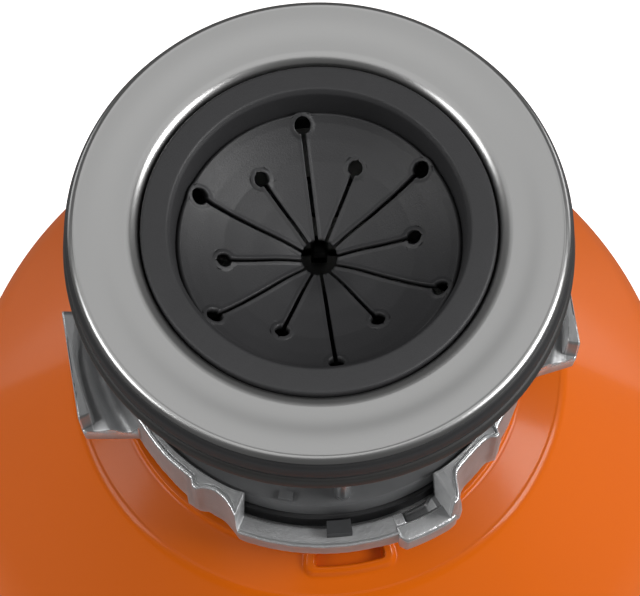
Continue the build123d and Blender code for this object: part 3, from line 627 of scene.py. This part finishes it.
def step_block(name, start, stop, inner, limit, lower):
    """The thick step beside the right hook: an outline carried over a few degrees between its end faces.

    limit caps its outer radius and lower sinks it, so that two steps never share a face.
    """
    a = np.linspace(start, stop, 24)
    outer = np.minimum(np.interp(a, [289.9, 291, 302.4, 304.6], [59.0, 60.4, 60.6, 60.2]), limit)
    radius, height = outline_at(a, [(54.6, -74.8), (outer - 0.7, -74.8), (outer, -74.0), (outer, -67.5),
                                    (outer - 0.6, -66.8), (inner + 0.4, -66.8), (inner, -67.4),
                                    (inner, -73.4)])
    radius, height, edge = soften(radius, height - lower, 0.45, 1)
    points, faces = carried(a, radius, height, closed_ring=False)
    return mesh_piece(name, points, faces, "lock", edge=edge.ravel())


ring = lock_ring()
castings = [ring, lock_wing("lock_wing_left", 1), lock_wing("lock_wing_right", -1),
            step_block("lock_step_outer", 289.9, 304.4, 55.4, 99.0, 0.0),
            step_block("lock_step_left", 290.1, 292.6, 52.3, 56.2, 0.12)]
for part in castings:
    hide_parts("lock_ring")
    wear(part, "cast_alloy")
print("lock ring faces:", len(ring.data.polygons))

# %% [markdown]
# The upper shell is glossy orange plastic. Its outline is a flat top with a small step, a gently
# sloping plateau, a soft bend and a steep shoulder that ends in a large round. A slot in a raised
# frame sits at the front of the plateau, so there the surface is lifted or lowered by how far a point
# is inside that frame.

# %% The upper shell
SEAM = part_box("lower_shell")[1].z / MM - 6.0
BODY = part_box("lower_shell")[1].x / MM
SLOPE = 53.45                               # the shoulder's steepness in degrees
SHOULDER = 50.0                             # radius of the shoulder's large round
WALL = 2.3


def straight(start, stop, count):
    """Points of a straight run from start to stop, ends included."""
    return list(zip(np.linspace(start[0], stop[0], count), np.linspace(start[1], stop[1], count)))


def shell_outline():
    """Outside of the dome from the neck down: straight runs and arcs, in radius and true height.

    The shoulder's line passes the plateau's edge, 66.2 out and 92 down, and meets the body at corner.
    """
    top = TOP / MM
    corner = top - 92 - (BODY - 66.2) * math.tan(math.radians(SLOPE))
    arc = np.radians(np.linspace(90 - SLOPE, 0, 26))
    centre_r = BODY - SHOULDER
    centre_z = corner - SHOULDER * math.tan(math.radians((90 - SLOPE) / 2))
    shoulder = list(zip(centre_r + SHOULDER * np.cos(arc), centre_z + SHOULDER * np.sin(arc)))
    runs = [(47.2, top - 86.6), (52.7, top - 86.6), (53.1, top - 86.75), (53.25, top - 87.3),
            (53.6, top - 87.6)]
    runs += straight((54.2, top - 87.75), (63.6, top - 91.0), 24)
    bend = np.radians(np.linspace(71, 90 - SLOPE, 9))
    runs += list(zip(62.0 + 5.2 * np.cos(bend), top - 91.0 - 4.9 + 5.2 * np.sin(bend)))
    runs += straight(runs[-1], shoulder[0], 12)[1:-1]
    return np.array(runs + shoulder + [(BODY, SEAM + 1.2), (BODY - 0.3, SEAM + 0.5)])


def shell_inside(outside):
    """The inner wall: the outside moved in by the wall's thickness along its own normal."""
    way = np.gradient(outside, axis=0)
    way /= np.linalg.norm(way, axis=1)[:, None] + 1e-9
    inside = outside + WALL * np.stack([way[:, 1], -way[:, 0]], axis=1)
    inside[:, 0] = np.minimum(inside[:, 0], BODY - 2.4)
    inside[0] = (47.2, outside[0, 1] - 2.4)
    inside[-1] = (BODY - 2.4, SEAM + 0.5)
    return inside[::-1]


def rounded_box(x, y, half_x, half_y, corner):
    """Signed distance to a rounded rectangle: below 0 inside it."""
    return np.hypot(np.maximum(np.abs(x) - half_x, 0), np.maximum(np.abs(y) - half_y, 0)) - corner


def step_down(distance, width):
    """1 inside, 0 outside: 1 / (1 + exp(distance / width))."""
    return 1 / (1 + np.exp(np.minimum(distance / width, 60)))


def slot_frame(angle, radius):
    """Lift in millimetres: +1.7 on a rounded frame, -3.5 in the slot inside it."""
    x = (angle - 278.0) * math.pi / 180 * 56.5
    y = radius - 54.3
    frame_part = step_down(rounded_box(x, y, 9.0, 1.9, 2.6), 0.16)
    slot_part = step_down(rounded_box(x, y, 8.0, 1.5, 0.8), 0.12)
    return 1.7 * frame_part - 5.2 * slot_part


def upper_shell():
    """The outline carried round, with the frame's lift added to the outside."""
    outside = shell_outline()
    both = np.concatenate([outside, shell_inside(outside)])
    a = np.unique(np.concatenate([np.linspace(0, 360, 240, endpoint=False),
                                  np.linspace(264, 292, 150)]))
    radius = np.repeat(both[None, :, 0], len(a), axis=0)
    height = np.repeat(both[None, :, 1], len(a), axis=0)
    front = np.arange(len(both)) < len(outside)
    near = (radius < 64) & front[None, :] & (radius > 47.5)
    height = height + np.where(near, slot_frame(a[:, None], radius), 0)
    points, faces = carried(a, radius, height)
    return mesh_piece("upper_shell_moulded", points, faces, "housing")


shell = wear(upper_shell(), "orange_plastic")
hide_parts("upper_shell")
print("shell faces:", len(shell.data.polygons))

# %% [markdown]
# Steel and gloss plastic show the lights as much as themselves, so the lights are large and soft. A
# panel overhead gives the flange its even grey, two boxes in front draw the bright lines along the
# bends, and two low walls give the shells their pale sides. The floor is a plain glowing sheet, and
# the camera looks down on the flange from a little in front through a long lens.

# %% Floor, light and camera
def floor():
    """A flat square 6 m across, just below the base, that throws no shadow and isn't mirrored."""
    low = -0.0002
    mesh = bpy.data.meshes.new("floor")
    mesh.from_pydata([(-3, -3, low), (3, -3, low), (3, 3, low), (-3, 3, low)], [], [(0, 1, 2, 3)])
    sheet = bpy.data.objects.new("floor", mesh)
    bpy.context.scene.collection.objects.link(sheet)
    paint = bpy.data.materials.new("floor_paint")
    paint.use_nodes = True
    sockets = paint.node_tree.nodes["Principled BSDF"].inputs
    for title, value in (("Base Color", (0.93, 0.93, 0.93, 1)), ("Roughness", 0.9),
                         ("Emission Color", (1, 1, 1, 1)), ("Emission Strength", 0.95)):
        sockets[title].default_value = value
    mesh.materials.append(paint)
    sheet.visible_glossy = False
    sheet.visible_shadow = False


def soft_box(name, place, aim, size, power):
    """A rectangular area light at place, turned to aim; the camera doesn't see it."""
    lamp = bpy.data.lights.new(name, "AREA")
    lamp.shape = "RECTANGLE"
    lamp.size, lamp.size_y = size
    lamp.energy = power
    holder = bpy.data.objects.new(name, lamp)
    holder.location = place
    holder.rotation_euler = (Vector(aim) - Vector(place)).to_track_quat("-Z", "Y").to_euler()
    holder.visible_camera = False
    bpy.context.scene.collection.objects.link(holder)


floor()
BODY_MIDDLE, SHELL_MIDDLE = (0, 0, 0.28), (0, 0, 0.2)
soft_box("right box", (0.84, -0.14, 0.95), BODY_MIDDLE, (0.5, 0.5), 7.8)
soft_box("left box", (-0.80, -0.18, 0.95), BODY_MIDDLE, (0.5, 0.5), 3.2)
soft_box("top panel", (-0.05, 0.12, 1.7), (0, 0.05, 0.3), (1.6, 1.25), 3.9)
soft_box("right wall", (1.2, 0.8, 0.0), SHELL_MIDDLE, (0.6, 0.8), 2.0)
soft_box("left wall", (-1.2, 0.8, 0.0), SHELL_MIDDLE, (0.6, 0.8), 1.3)
world = bpy.data.worlds.new("white room")
world.use_nodes = True
world.node_tree.nodes["Background"].inputs["Color"].default_value = (1, 1, 1, 1)
world.node_tree.nodes["Background"].inputs["Strength"].default_value = 0.11
bpy.context.scene.world = world
bpy.context.scene.view_settings.view_transform = "Standard"

LEAN = 90 - 68.12                           # degrees from straight down
lens = bpy.data.cameras.new("camera")
lens.sensor_width = 36.0
lens.lens = 123.75
lens.clip_start = 0.01
camera = bpy.data.objects.new("camera", lens)
camera.location = (0.00021, -0.2016, TOP + 0.4554)
camera.rotation_euler = (math.radians(LEAN), 0, 0)
bpy.context.scene.collection.objects.link(camera)
bpy.context.scene.camera = camera
